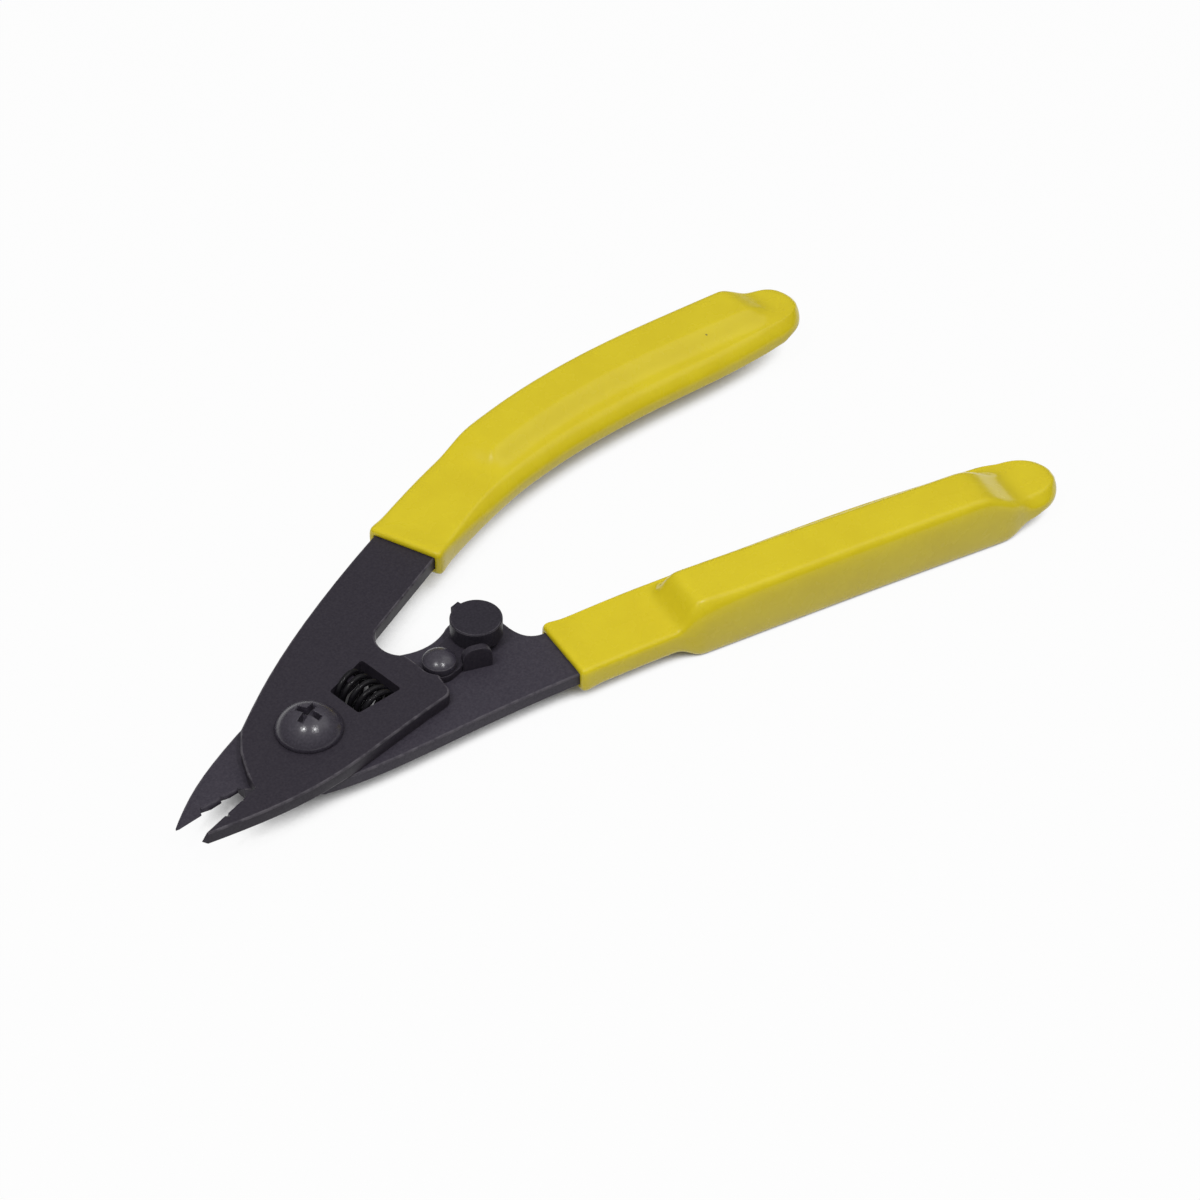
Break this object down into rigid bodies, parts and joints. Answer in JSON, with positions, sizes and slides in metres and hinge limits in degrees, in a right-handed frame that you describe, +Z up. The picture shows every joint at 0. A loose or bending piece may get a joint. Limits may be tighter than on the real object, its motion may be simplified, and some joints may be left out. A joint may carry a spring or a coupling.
{
  "type": "fibre stripper",
  "caption": "Fibre-optic stripping pliers: notched steel jaws crossing on a pivot screw, opened by a coil spring, with vinyl grips and a swinging lock lever.",
  "frame": {"origin": "middle of the bounding box on the plane the grips lie on, with the handles open", "axes": "+X from the jaw tips to the handle ends, +Y towards the upper plate's handle, +Z up through the pivot screw's head"},
  "size_m": [0.1662, 0.0768, 0.0123],
  "materials": {
    "blackened_steel": "satin",
    "blackened_hardware": "satin",
    "spring_steel": "satin",
    "yellow_vinyl": "gloss"
  },
  "bodies": {
    "rear": {"rear_plate": "blackened_steel", "rear_grip": "yellow_vinyl", "pivot_screw": "blackened_hardware", "pivot_nut": "blackened_hardware", "lock_rivet": "blackened_hardware", "return_spring": "spring_steel"},
    "front": {"front_plate": "blackened_steel", "front_grip": "yellow_vinyl"},
    "lock": {"lock_lever": "blackened_steel", "lock_knob": "blackened_hardware"}
  },
  "joints": [
    {"name": "handle_pivot", "type": "hinge", "parent": "rear", "child": "front", "pos_m": [-0.05525, -0.00585, 0.00565], "axis": [0, 0, 1], "range_deg": [-12, 0], "stiffness_Nm_per_rad": 0.9, "springref_deg": 16.04, "deforming": ["return_spring"]},
    {"name": "lock_swing", "type": "hinge", "parent": "rear", "child": "lock", "pos_m": [-0.02925, -0.00615, 0.00565], "axis": [0, 0, 1], "range_deg": [-70, 8]}
  ]
}
